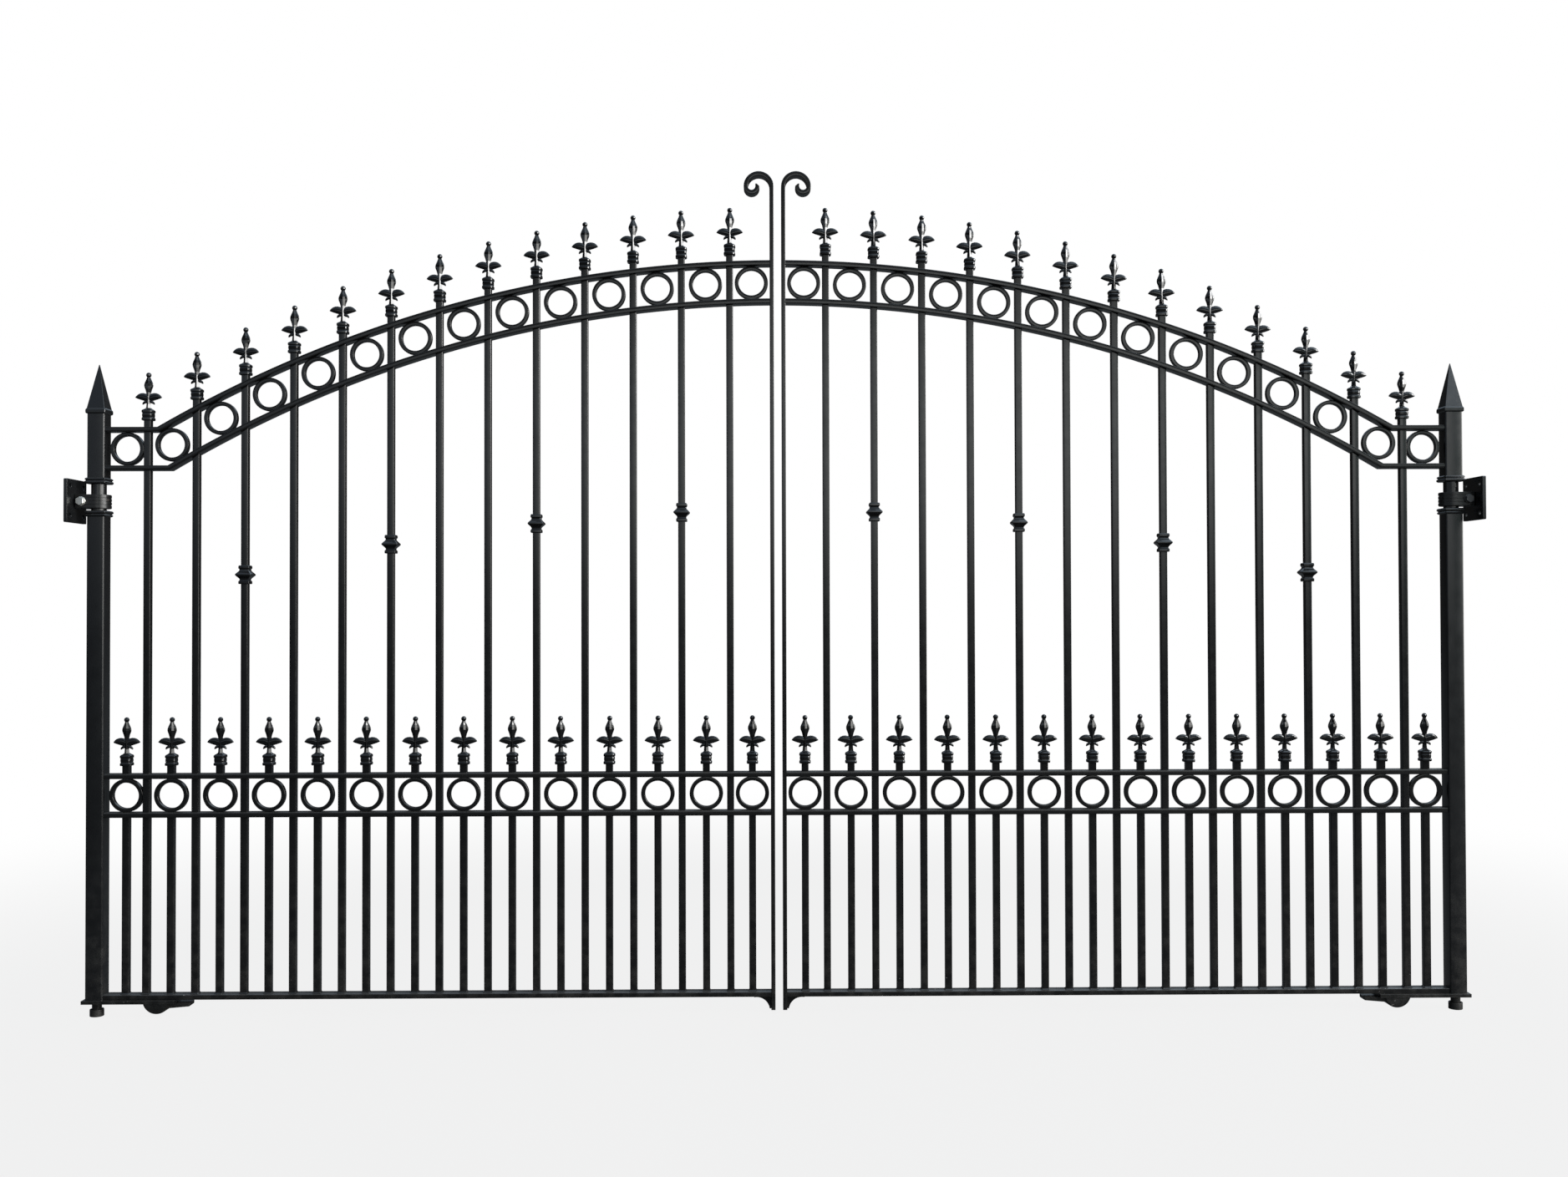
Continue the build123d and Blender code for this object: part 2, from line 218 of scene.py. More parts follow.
@dataclass(frozen=True)
class Section:
    """Closed outline that is grown into a solid.

    A section of four sides is a rectangle, or a diamond where it is turned. One of more sides
    is an ellipse. The corner is the length cut from each corner and rounded.
    """

    half_wide: float = 1.0
    half_deep: float = 1.0
    sides: int = 4
    corner: float = 0.0
    turned: bool = False
    rounding: int = ROUND_SEGMENTS

    def draw(self, mesh: bmesh.types.BMesh) -> bmesh.types.BMFace:
        """Draw the section as one face about the origin.

        Args:
            mesh: Empty mesh that takes the face.

        Returns:
            The face.
        """
        square = self.sides == 4 and not self.turned
        bmesh.ops.create_circle(
            mesh,
            cap_ends=True,
            segments=self.sides,
            radius=math.sqrt(2) if square else 1.0,
            matrix=Matrix.Rotation(math.pi / 4 if square else 0.0, 4, "Z"),
        )
        bmesh.ops.scale(mesh, vec=(self.half_wide, self.half_deep, 1.0), verts=mesh.verts[:])
        if self.corner > 0:
            bmesh.ops.bevel(
                mesh,
                geom=mesh.verts[:],
                offset=self.corner,
                offset_type="OFFSET",
                affect="VERTICES",
                segments=self.rounding,
                profile=0.5,
                material=-1,
                clamp_overlap=True,
            )
        mesh.faces.ensure_lookup_table()
        return mesh.faces[0]


UNIT_SQUARE = Section(corner=0.11)
SOFT_SQUARE = Section(corner=0.5)
CRISP_SQUARE = Section(corner=0.05, rounding=1)
UNIT_DIAMOND = Section(corner=0.06, turned=True, rounding=1)
UNIT_ROUND = Section(sides=28)
SMALL_ROUND = Section(sides=26)
HEXAGON = Section(sides=6)


class Blank:
    """A mesh in the making, shaped with bmesh operators and then published as a piece."""

    def __init__(self) -> None:
        """Start with an empty mesh."""
        self.mesh = bmesh.new()

    @classmethod
    def block(cls, span: Span, edge: float, along: Along) -> "Blank":
        """Block with the edges along one axis rounded.

        Args:
            span: Box of the block.
            edge: Radius of its edges.
            along: Axis of those edges.

        Returns:
            The block.
        """
        blank = cls()
        shape = Matrix.Translation(span.centre) @ Matrix.Diagonal((*span.size, 1.0))
        bmesh.ops.create_cube(blank.mesh, size=1.0, matrix=shape)
        runs = [(e, e.verts[1].co - e.verts[0].co) for e in blank.mesh.edges]
        edges = [e for e, run in runs if abs(run[along.value]) > run.length / 2]
        blank.bevel(edges, edge)
        return blank

    @classmethod
    def grow(cls, section: Section, frames: Sequence[Matrix]) -> "Blank":
        """Solid that follows one section through a row of frames.

        Args:
            section: Outline that is grown.
            frames: Places, turns and scales of the section.

        Returns:
            The closed solid.
        """
        blank = cls()
        mesh = blank.mesh
        face = section.draw(mesh)
        bmesh.ops.transform(mesh, matrix=frames[0], space=IDENTITY, verts=mesh.verts[:])
        for before, after in zip(frames, frames[1:]):
            grown = bmesh.ops.extrude_face_region(mesh, geom=[face])
            face = next(item for item in grown["geom"] if isinstance(item, bmesh.types.BMFace))
            move = after @ before.inverted()
            bmesh.ops.transform(mesh, matrix=move, space=IDENTITY, verts=face.verts[:])
        bmesh.ops.recalc_face_normals(mesh, faces=mesh.faces[:])
        return blank

    @classmethod
    def stack(cls, section: Section, levels: Sequence[Level]) -> "Blank":
        """Solid of half widths over heights, both in millimetres.

        Args:
            section: Unit outline.
            levels: Half width and height of each level.

        Returns:
            The closed solid, standing on the origin.
        """
        return cls.grow(section, [lift(high * MM, wide * MM) for wide, high in levels])

    @classmethod
    def hoop(cls, radius: float, section: Section, steps: int) -> "Blank":
        """Closed ring in the gate's plane.

        Args:
            radius: Radius of the middle of its wall.
            section: Outline of the wall, its depth along Y.
            steps: Steps of the full turn.

        Returns:
            The ring about the origin.
        """
        blank = cls()
        mesh = blank.mesh
        section.draw(mesh)
        bmesh.ops.translate(mesh, vec=(radius, 0.0, 0.0), verts=mesh.verts[:])
        bmesh.ops.delete(mesh, geom=mesh.faces[:], context="FACES_ONLY")
        bmesh.ops.spin(
            mesh,
            geom=mesh.verts[:] + mesh.edges[:],
            cent=(0.0, 0.0, 0.0),
            axis=(0.0, 1.0, 0.0),
            angle=math.tau,
            steps=steps,
            use_merge=True,
        )
        bmesh.ops.recalc_face_normals(mesh, faces=mesh.faces[:])
        return blank

    @classmethod
    def copy_of(cls, node: str, edge: float) -> "Blank":
        """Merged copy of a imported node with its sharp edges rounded.

        Args:
            node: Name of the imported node.
            edge: Radius of the edges.

        Returns:
            The copy.
        """
        blank = cls()
        mesh = blank.mesh
        mesh.from_mesh(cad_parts[node].data)
        bmesh.ops.remove_doubles(mesh, verts=mesh.verts[:], dist=WELD_DISTANCE)
        bmesh.ops.dissolve_limit(
            mesh,
            angle_limit=FLAT_ANGLE,
            use_dissolve_boundaries=False,
            verts=mesh.verts[:],
            edges=mesh.edges[:],
        )
        joined = [e for e in mesh.edges if len(e.link_faces) == 2]
        sharp = [e for e in joined if e.calc_face_angle() > CREASE_ANGLE]
        blank.bevel(sharp, edge, FLAT_SEGMENTS)
        return blank

    def bevel(
        self,
        edges: Sequence[bmesh.types.BMEdge],
        radius: float,
        segments: int = ROUND_SEGMENTS,
    ) -> None:
        """Round some edges.

        Args:
            edges: Edges to round.
            radius: Radius of the rounding.
            segments: Facets of the rounding.
        """
        bmesh.ops.bevel(
            self.mesh,
            geom=list(edges),
            offset=radius,
            offset_type="OFFSET",
            affect="EDGES",
            segments=segments,
            profile=0.5,
            material=-1,
            clamp_overlap=True,
        )

    def add(self, other: "Blank", *places: Matrix) -> "Blank":
        """Join copies of another blank to this one.

        Args:
            other: The blank that is copied.
            places: Frames of the copies, the origin if none is given.

        Returns:
            This blank.
        """
        carrier = bpy.data.meshes.new("carrier")
        other.mesh.to_mesh(carrier)
        for place in places or (IDENTITY,):
            count = len(self.mesh.verts)
            self.mesh.from_mesh(carrier)
            self.mesh.verts.ensure_lookup_table()
            added = self.mesh.verts[count:]
            bmesh.ops.transform(self.mesh, matrix=place, space=IDENTITY, verts=added)
        bpy.data.meshes.remove(carrier)
        return self

    def flipped(self) -> "Blank":
        """Turn the blank into its mirror image about its own middle plane.

        Returns:
            This blank.
        """
        bmesh.ops.scale(self.mesh, vec=(-1.0, 1.0, 1.0), verts=self.mesh.verts[:])
        bmesh.ops.reverse_faces(self.mesh, faces=self.mesh.faces[:])
        return self

    def roughen(self, amount: float, source: random.Random) -> "Blank":
        """Move every point a little, as hand work does.

        Args:
            amount: Largest move.
            source: Seeded source of the moves.

        Returns:
            This blank.
        """
        for vert in self.mesh.verts:
            vert.co += Vector([source.uniform(-amount, amount) for _ in range(3)])
        return self

    def publish(self, name: str, side: Side, body: str, finish: "Finish") -> None:
        """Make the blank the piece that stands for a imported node, mirrored on the right.

        Args:
            name: Name of the node, without its side.
            side: Side that the piece belongs to.
            body: Body that the piece moves with.
            finish: Finish of its surface.
        """
        if side is Side.RIGHT:
            self.flipped()
            bmesh.ops.translate(self.mesh, vec=(SPAN, 0.0, 0.0), verts=self.mesh.verts[:])
        for face in self.mesh.faces:
            face.smooth = True
        for edge in self.mesh.edges:
            edge.smooth = len(edge.link_faces) == 2 and edge.calc_face_angle() < SOFT_ANGLE
        data = bpy.data.meshes.new(side.node(name))
        self.mesh.to_mesh(data)
        self.mesh.free()
        data.materials.append(finish.material())
        piece = bpy.data.objects.new(side.node(f"{name}_form"), data)
        bpy.context.scene.collection.objects.link(piece)
        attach(piece, body)
        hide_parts(side.node(name))
        log.info("%s on %s, %d faces, %s", piece.name, body, len(data.polygons), finish.name)


class Wire:
    """One output socket of a node, with the arithmetic of values."""

    def __init__(self, board: "Board", socket: bpy.types.NodeSocket) -> None:
        """Wrap a socket.

        Args:
            board: Node tree that the socket belongs to.
            socket: The socket.
        """
        self.board = board
        self.socket = socket

    def _math(self, operation: str, first: object, second: object) -> "Wire":
        """Add a Math node on two values."""
        return self.board.node("ShaderNodeMath", {"operation": operation}, {0: first, 1: second})

    def __add__(self, other: object) -> "Wire":
        """Sum."""
        return self._math("ADD", self, other)

    def __radd__(self, other: object) -> "Wire":
        """Sum, reflected."""
        return self._math("ADD", other, self)

    def __sub__(self, other: object) -> "Wire":
        """Difference."""
        return self._math("SUBTRACT", self, other)

    def __mul__(self, other: object) -> "Wire":
        """Product."""
        return self._math("MULTIPLY", self, other)

    def over(self, other: object) -> "Wire":
        """The greater of two values."""
        return self._math("MAXIMUM", self, other)

    def ease(self, limits: Limits) -> "Wire":
        """Smooth step from 0 to 1.

        Args:
            limits: Value that gives 0 and value that gives 1. Either may be the greater.

        Returns:
            The stepped value.
        """
        none, full = limits
        ends = {1: none, 2: full, 3: 0.0, 4: 1.0}
        if none > full:
            ends = {1: full, 2: none, 3: 1.0, 4: 0.0}
        smooth = {"interpolation_type": "SMOOTHSTEP"}
        return self.board.node("ShaderNodeMapRange", smooth, {0: self, **ends})


@dataclass(frozen=True)
class Grain:
    """Make-up of a noise: cells per metre, octaves and weight of the finer octaves."""

    scale: float
    detail: float = 3.0
    rough: float = 0.55


BROAD_TONE = Grain(2.6)
CLOUDS = Grain(31.0, 4.0, 0.6)
ORANGE_PEEL = Grain(240.0, 2.0)
CAST_SKIN = Grain(70.0)
RUST_PATCHES = Grain(16.0, 5.0, 0.65)
RUST_SPECKLE = Grain(130.0)
CHIP_FLAKES = Grain(95.0, 2.0, 0.5)
CHIP_CLUSTERS = Grain(5.0, 2.0)


class Board:
    """Node tree of one material or of the world."""

    def __init__(self, tree: bpy.types.NodeTree) -> None:
        """Empty a node tree and take it over.

        Args:
            tree: The node tree.
        """
        self.tree = tree
        tree.nodes.clear()

    def node(
        self,
        kind: str,
        settings: dict[str, object] | None = None,
        inputs: dict[str | int, object] | None = None,
        output: str | int = 0,
    ) -> Wire:
        """Add a node.

        Args:
            kind: Type of the node.
            settings: Properties that are set first.
            inputs: Values or wires of its sockets.
            output: Output that is handed back.

        Returns:
            The output, as a wire.
        """
        node = self.tree.nodes.new(kind)
        for name, value in (settings or {}).items():
            setattr(node, name, value)
        for name, value in (inputs or {}).items():
            if isinstance(value, Wire):
                self.tree.links.new(value.socket, node.inputs[name])
            else:
                node.inputs[name].default_value = value
        return Wire(self, node.outputs[output] if node.outputs else node.inputs[0])

    def axes(self, vector: Wire) -> tuple[Wire, Wire, Wire]:
        """The three parts of a vector."""
        parts = [self.node("ShaderNodeSeparateXYZ", {}, {0: vector}, axis) for axis in range(3)]
        return parts[0], parts[1], parts[2]

    def mix(self, factor: object, first: object, second: object) -> Wire:
        """Blend two colours.

        Args:
            factor: Share of the second colour.
            first: Colour at 0.
            second: Colour at 1.

        Returns:
            The blend.
        """
        inputs = {0: factor, 6: rgba(first), 7: rgba(second)}
        return self.node("ShaderNodeMix", {"data_type": "RGBA"}, inputs, 2)

    def noise(self, place: Wire, grain: Grain) -> Wire:
        """Cloudy noise from 0 to 1.

        Args:
            place: Coordinates.
            grain: Make-up of the noise.

        Returns:
            The noise.
        """
        inputs = {
            "Vector": place,
            "Scale": grain.scale,
            "Detail": grain.detail,
            "Roughness": grain.rough,
        }
        return self.node("ShaderNodeTexNoise", {}, inputs, "Fac")


def rgba(value: object) -> object:
    """Give a plain colour its alpha and leave a wire as it is."""
    return value if isinstance(value, Wire) else (*value, 1.0)


@dataclass(frozen=True)
class Finish:
    """Surface of one kind of metal work, with its paint, dirt and wear.

    Roughness and the weights are shares of 1. Depths and heights are in metres. Limits are the
    values at which a share is 0 and 1.
    """

    name: str
    slot: str
    base: Colour
    bloom: Colour
    roughness: float = 0.17
    metallic: float = 0.0
    specular: float = 0.45
    uneven: float = 0.16
    bloom_limits: Limits = (0.30, 0.72)
    bloom_share: float = 0.7
    peel_depth: float = 0.000008
    cast_depth: float = 0.0
    dust: float = 0.25
    dust_slope: Limits = (0.25, 0.95)
    dust_least: float = 0.35
    dust_spread: float = 0.9
    dust_colour: Colour = (0.075, 0.068, 0.060)
    dirt_roughness: float = 0.35
    low_dirt: float = 0.18
    splash_height: Limits = (0.62, 0.02)
    splash_limits: Limits = (0.34, 0.72)
    rust: float = 0.0
    rust_colour: Colour = (0.038, 0.021, 0.013)
    rust_bright: float = 2.1
    rust_roughness: float = 0.4
    chips: float = 0.0
    chip_top: float = 0.15
    chip_fade: float = 0.5
    chip_limits: Limits = (0.70, 0.75)
    chip_colour: Colour = (0.36, 0.34, 0.31)

    @property
    def rust_limits(self) -> Limits:
        """Noise where rust begins and is full, lower with more rust."""
        return 0.70 - self.rust * 0.35, 0.80 - self.rust * 0.25

    @property
    def cluster_limits(self) -> Limits:
        """Noise where chips begin and lie close, lower with more chips."""
        return 0.62 - self.chips * 0.3, 0.70

    def material(self) -> bpy.types.Material:
        """Material of the finish, built the first time it is asked for.

        Returns:
            The material.
        """
        label = f"{self.name}_surface"
        known = bpy.data.materials.get(label)
        if known:
            return known
        made = bpy.data.materials.new(label)
        made.use_nodes = True
        self.dress(Board(made.node_tree))
        return made

    def dress(self, board: Board) -> None:
        """Lay out the nodes of the finish.

        Args:
            board: Empty node tree.
        """
        place = board.node("ShaderNodeTexCoord", output="Object")
        normal = board.node("ShaderNodeNewGeometry", output="Normal")
        _, _, height = board.axes(place)
        _, _, facing_up = board.axes(normal)
        broad = board.noise(place, BROAD_TONE)
        cloudy = board.noise(place, CLOUDS)
        peel = board.noise(place, ORANGE_PEEL)
        skin = board.noise(place, CAST_SKIN)
        patchy = self.dust_least + cloudy * self.dust_spread
        settled = facing_up.ease(self.dust_slope) * patchy * self.dust
        spots = cloudy.ease(self.splash_limits)
        splashed = height.ease(self.splash_height) * spots * self.low_dirt
        dirt = settled.over(splashed)
        veil = broad.ease(self.bloom_limits) * self.bloom_share + cloudy * (1 - self.bloom_share)
        colour = board.mix(veil, self.base, self.bloom)
        colour = board.mix(dirt, colour, self.dust_colour)
        rough = self.roughness + (cloudy - 0.5) * self.uneven + dirt * self.dirt_roughness
        if self.rust > 0:
            patch = board.noise(place, RUST_PATCHES).ease(self.rust_limits)
            bright = [part * self.rust_bright for part in self.rust_colour]
            tone = board.mix(board.noise(place, RUST_SPECKLE), self.rust_colour, bright)
            colour = board.mix(patch, colour, tone)
            rough = rough + patch * self.rust_roughness
        if self.chips > 0:
            flake = board.noise(place, CHIP_FLAKES).ease(self.chip_limits)
            cluster = board.noise(place, CHIP_CLUSTERS).ease(self.cluster_limits)
            zone = height.ease((self.chip_top, self.chip_top * self.chip_fade))
            colour = board.mix(flake * cluster * zone, colour, self.chip_colour)
        relief = peel * self.peel_depth + skin * self.cast_depth
        inputs = {"Strength": 1.0, "Distance": 1.0, "Height": relief}
        bump = board.node("ShaderNodeBump", {}, inputs)
        shader = board.node(
            "ShaderNodeBsdfPrincipled",
            {},
            {
                "Base Color": colour,
                "Roughness": rough,
                "Metallic": self.metallic,
                "Specular IOR Level": self.specular,
                "Normal": bump,
            },
        )
        board.node("ShaderNodeOutputMaterial", {}, {"Surface": shader})


BAR_PAINT = Finish(
    "bar_paint",
    "black_paint",
    (0.0036, 0.0036, 0.0038),
    (0.0062, 0.0061, 0.006),
    chips=0.6,
)
RAIL_PAINT = Finish(
    "rail_paint",
    "black_paint",
    (0.004, 0.004, 0.0042),
    (0.008, 0.0076, 0.0072),
    dust=0.5,
    chips=0.5,
)
# Black paint of the heel posts, caps and wall plates. Its slightly bluer tone is a painted sheen
# of blue sky, not a colour of the paint itself.
POST_PAINT_AND_SHEEN = Finish(
    "post_paint_and_sheen",
    "black_paint",
    (0.0042, 0.0043, 0.0046),
    (0.0075, 0.0077, 0.008),
    roughness=0.22,
)
CAST_PAINT = Finish(
    "cast_paint",
    "cast_paint",
    (0.0022, 0.0022, 0.0024),
    (0.0044, 0.0044, 0.0046),
    roughness=0.1,
    specular=0.5,
    cast_depth=0.00008,
    dust=0.06,
)
WORN_PAINT = Finish(
    "worn_paint",
    "worn_paint",
    (0.0042, 0.0041, 0.004),
    (0.0085, 0.008, 0.0074),
    roughness=0.3,
    cast_depth=0.0003,
    rust=0.12,
    chips=0.6,
    chip_top=3.2,
)
ZINC = Finish(
    "zinc",
    "zinc",
    (0.62, 0.61, 0.57),
    (0.80, 0.79, 0.74),
    roughness=0.42,
    metallic=1.0,
    cast_depth=0.0001,
    rust=0.2,
)
DULL_ZINC = Finish(
    "dull_zinc",
    "zinc",
    (0.10, 0.10, 0.10),
    (0.17, 0.165, 0.16),
    roughness=0.48,
    metallic=1.0,
    cast_depth=0.0002,
    rust=0.3,
)
SEAT_IRON = Finish(
    "seat_iron",
    "cast_seat",
    (0.006, 0.0056, 0.0052),
    (0.012, 0.0108, 0.0096),
    roughness=0.45,
    cast_depth=0.0005,
    dust=0.2,
    rust=0.2,
)


@dataclass
class Arch:
    """Line of the arched rails: a level heel end and a long arc to the middle of the gateway.

    The flat-bar rails, their rings and the bars' lengths follow it.
    """

    side: Side
    heel_top: float = 1.701
    crown_top: float = 2.1845
    heel_run: float = 0.150
    thickness: float = 0.014
    depth: float = 0.040
    corner: float = 0.0014
    arc_steps: int = 44
    finish: Finish = RAIL_PAINT

    def rail(self, piece: str) -> None:
        """Build one arched rail.

        Args:
            piece: Name of the rail's node.
        """
        low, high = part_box(Side.LEFT.node(piece))
        chord = SPAN / 2 - low.x - self.heel_run
        rise = self.crown_top - self.heel_top
        arch_radius = (chord**2 + rise**2) / (2 * rise)
        centre = self.crown_top - arch_radius
        line = low.z + self.thickness / 2
        radius = arch_radius - (self.heel_top - line)
        bend = math.acos((line - centre) / radius)
        end = math.asin((SPAN / 2 - high.x) / radius)
        frames = [basis(AXIS_Y, AXIS_Z, AXIS_X, Vector((low.x, 0.0, line)))]
        for step in range(self.arc_steps + 1):
            angle = bend + (end - bend) * step / self.arc_steps
            out = Vector((-math.sin(angle), 0.0, math.cos(angle)))
            ahead = Vector((math.cos(angle), 0.0, math.sin(angle)))
            place = Vector((SPAN / 2, 0.0, centre)) + out * radius
            if step == 0:
                out = (out + AXIS_Z).normalized() / math.cos(bend / 2)
                ahead = (ahead + AXIS_X).normalized()
            frames.append(basis(AXIS_Y, out, ahead, place))
        section = Section(self.depth / 2, self.thickness / 2, corner=self.corner)
        Blank.grow(section, frames).publish(piece, self.side, self.side.leaf, self.finish)

    def build(self) -> None:
        """Build both arched rails."""
        self.rail("top_rail")
        self.rail("lower_arch_rail")


@dataclass
class LevelRails:
    """Straight flat-bar rails of the mid band and the foot."""

    side: Side
    edge: float = 0.0014
    finish: Finish = RAIL_PAINT

    def build(self) -> None:
        """Build the three rails."""
        for piece in ("upper_mid_rail", "lower_mid_rail", "bottom_rail"):
            span = Span(*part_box(Side.LEFT.node(piece)))
            rail = Blank.block(span, self.edge, Along.X)
            rail.publish(piece, self.side, self.side.leaf, self.finish)


@dataclass
class Bars:
    """Upright square bars, with the fillet welds at their feet.

    Sizes of the welds are in millimetres.
    """

    side: Side
    edge: float = 0.002
    weld: float = 2.4
    weld_sink: float = 0.4
    weld_toe: float = 0.3
    weld_waist: float = 1.9
    weld_height: float = 3.6
    weld_lap: float = 0.2
    weld_wobble: float = 0.5
    finish: Finish = BAR_PAINT

    def build(self) -> None:
        """Build the long bars and the short bars."""
        source = random.Random(self.side.seed)
        for piece in ("long_bars", "dog_bars"):
            blank = Blank()
            spans = solids_of(Side.LEFT.node(piece))
            half = spans[0].size.x / MM / 2
            toe = half + self.weld
            levels = [
                (toe, -self.weld_sink),
                (toe, self.weld_toe),
                (half + self.weld / 2, self.weld_waist),
                (half + self.weld_lap, self.weld_height),
            ]
            for span in spans:
                blank.add(Blank.block(span, self.edge, Along.Z))
                weld = Blank.stack(UNIT_SQUARE, levels).roughen(self.weld_wobble * MM, source)
                blank.add(weld, Matrix.Translation(span.foot))
            blank.publish(piece, self.side, self.side.leaf, self.finish)


@dataclass
class Rings:
    """Flat-sided rings of the arch band and the mid band."""

    side: Side
    wall: float = 0.0115
    corner: float = 0.0016
    steps: int = 48
    finish: Finish = BAR_PAINT

    def build(self) -> None:
        """Build the rings of both bands."""
        for piece in ("arch_rings", "mid_rings"):
            spans = solids_of(Side.LEFT.node(piece))
            size = spans[0].size
            section = Section(self.wall / 2, size.y / 2, corner=self.corner)
            ring = Blank.hoop((size.x - self.wall) / 2, section, self.steps)
            places = [Matrix.Translation(span.centre) for span in spans]
            Blank().add(ring, *places).publish(piece, self.side, self.side.leaf, self.finish)


@dataclass
class Finials:
    """Cast finials: a square collar, a ridged leaf with drooping wings and curls, and a ball.

    The height, the ball and the tables are in millimetres. Collar: half width and height. Rib
    and leaf: half width, half depth and height. Wing and curl: see arm.
    """

    side: Side
    height: float = 140.0
    ball_radius: float = 7.5
    ball_sides: int = 14
    ball_rings: int = 9
    stub: float = 0.010
    stub_edge: float = 0.0012
    lean: float = math.radians(0.5)
    turn: float = math.radians(3.0)
    finish: Finish = CAST_PAINT
    collar: tuple[Level, ...] = (
        (14.9, 0.0), (16.0, 0.6), (16.5, 1.8), (16.5, 6.0), (16.0, 7.6), (14.8, 8.6),
        (14.6, 10.0), (15.4, 14.0), (15.2, 19.0), (14.6, 21.4), (15.0, 22.4), (16.2, 23.2),
        (16.5, 24.4), (16.5, 28.0), (15.9, 29.8), (13.4, 31.8), (9.6, 33.8), (7.0, 36.4),
    )
    rib: tuple[Girth, ...] = (
        (8.0, 6.8, 33.0), (7.2, 6.2, 40.0), (6.6, 5.6, 48.0), (6.6, 5.6, 60.0),
        (6.8, 5.7, 72.0), (7.6, 6.0, 82.0), (10.8, 6.5, 93.0), (12.4, 6.6, 101.0),
        (11.4, 6.4, 108.0), (9.0, 5.9, 115.0), (6.2, 4.7, 122.0), (4.4, 3.6, 129.0),
    )
    leaf: tuple[Girth, ...] = (
        (5.6, 2.6, 70.0), (6.4, 2.7, 79.0), (7.8, 2.9, 85.5), (10.6, 3.3, 92.5),
        (12.7, 3.5, 98.0), (13.4, 3.6, 102.5), (12.7, 3.5, 107.5), (10.6, 3.2, 113.0),
        (7.8, 2.9, 119.0), (5.4, 2.7, 125.0), (4.4, 2.6, 130.0),
    )
    wing: tuple[Station, ...] = (
        (2.0, 65.0, 12.0, 9.6, 4.0), (10.0, 68.0, 9.0, 11.0, 4.4), (16.0, 69.5, 3.0, 11.0, 4.6),
        (22.0, 70.0, -3.0, 10.0, 4.5), (28.0, 69.6, -9.0, 8.0, 4.0),
        (33.0, 68.6, -13.0, 5.2, 3.2), (36.6, 67.7, -15.0, 2.6, 2.2),
        (38.6, 67.1, -15.0, 0.5, 0.7),
    )
    curl: tuple[Station, ...] = (
        (4.0, 55.4, -8.0, 4.2, 3.8), (9.5, 54.2, -22.0, 4.3, 3.8),
        (13.6, 51.6, -48.0, 3.7, 3.3), (16.0, 48.6, -68.0, 2.5, 2.4),
        (16.8, 46.6, -80.0, 1.0, 1.2),
    )

    @staticmethod
    def arm(stations: Sequence[Station]) -> Blank:
        """Grow a wing or a curl along its stations.

        Args:
            stations: Place, level, direction in degrees, half width and half depth.

        Returns:
            The right-hand arm.
        """
        frames = []
        for x, z, angle, wide, deep in stations:
            scale = Matrix.Diagonal((wide * MM, deep * MM, 1.0, 1.0))
            frames.append(in_plane(x * MM, z * MM, math.radians(angle)) @ scale)
        return Blank.grow(SMALL_ROUND, frames)

    def casting(self) -> Blank:
        """One finial, standing on the origin.

        Returns:
            The casting.
        """
        whole = Blank.stack(SOFT_SQUARE, self.collar)
        for section, girths in ((UNIT_DIAMOND, self.rib), (SMALL_ROUND, self.leaf)):
            frames = [lift(z * MM, wide * MM, deep * MM) for wide, deep, z in girths]
            whole.add(Blank.grow(section, frames))
        for stations in (self.wing, self.curl):
            whole.add(self.arm(stations))
            whole.add(self.arm(stations).flipped())
        ball = Blank()
        bmesh.ops.create_uvsphere(
            ball.mesh,
            u_segments=self.ball_sides,
            v_segments=self.ball_rings,
            radius=self.ball_radius * MM,
            matrix=raised((self.height - self.ball_radius) * MM),
        )
        return whole.add(ball)

    def build(self) -> None:
        """Build the finials of the long bars and those over the mid band."""
        source = random.Random(self.side.seed + 1)
        one = self.casting()
        for piece in ("bar_finials", "dog_finials"):
            blank = Blank()
            for span in solids_of(Side.LEFT.node(piece)):
                foot = Vector((span.centre.x, 0.0, span.high.z - self.height * MM))
                turned = Matrix.Rotation(source.uniform(-self.turn, self.turn), 4, "Z")
                leaned = Matrix.Rotation(source.uniform(-self.lean, self.lean), 4, "Y")
                blank.add(one, Matrix.Translation(foot) @ leaned @ turned)
                if foot.z - span.low.z > MM:
                    half = Vector((self.stub, self.stub, 0.0))
                    stub = Span(span.foot - half, foot + half)
                    blank.add(Blank.block(stub, self.stub_edge, Along.Z))
            blank.publish(piece, self.side, self.side.leaf, self.finish)


@dataclass
class Bushes:
    """Moulded bushes slipped over some of the long bars.

    The levels are half widths and heights in millimetres.
    """

    side: Side
    finish: Finish = CAST_PAINT
    levels: tuple[Level, ...] = (
        (14.0, 0.0), (15.2, 0.8), (15.6, 2.2), (15.6, 7.2), (15.0, 8.6), (13.2, 10.6),
        (12.8, 12.0), (13.0, 14.2), (15.0, 17.2), (18.2, 20.4), (21.4, 23.6), (22.8, 25.4),
        (23.0, 26.2), (23.0, 27.8), (22.8, 28.6), (21.4, 30.4), (18.2, 33.6), (15.0, 37.0),
        (13.4, 39.6), (13.2, 42.0), (13.8, 43.6), (15.4, 45.2), (15.6, 46.2), (15.6, 50.6),
        (15.0, 52.4), (13.8, 54.0),
    )

    def build(self) -> None:
        """Build the bushes."""
        one = Blank.stack(UNIT_SQUARE, self.levels)
        places = [Matrix.Translation(span.foot) for span in solids_of(Side.LEFT.node("bushes"))]
        Blank().add(one, *places).publish("bushes", self.side, self.side.leaf, self.finish)


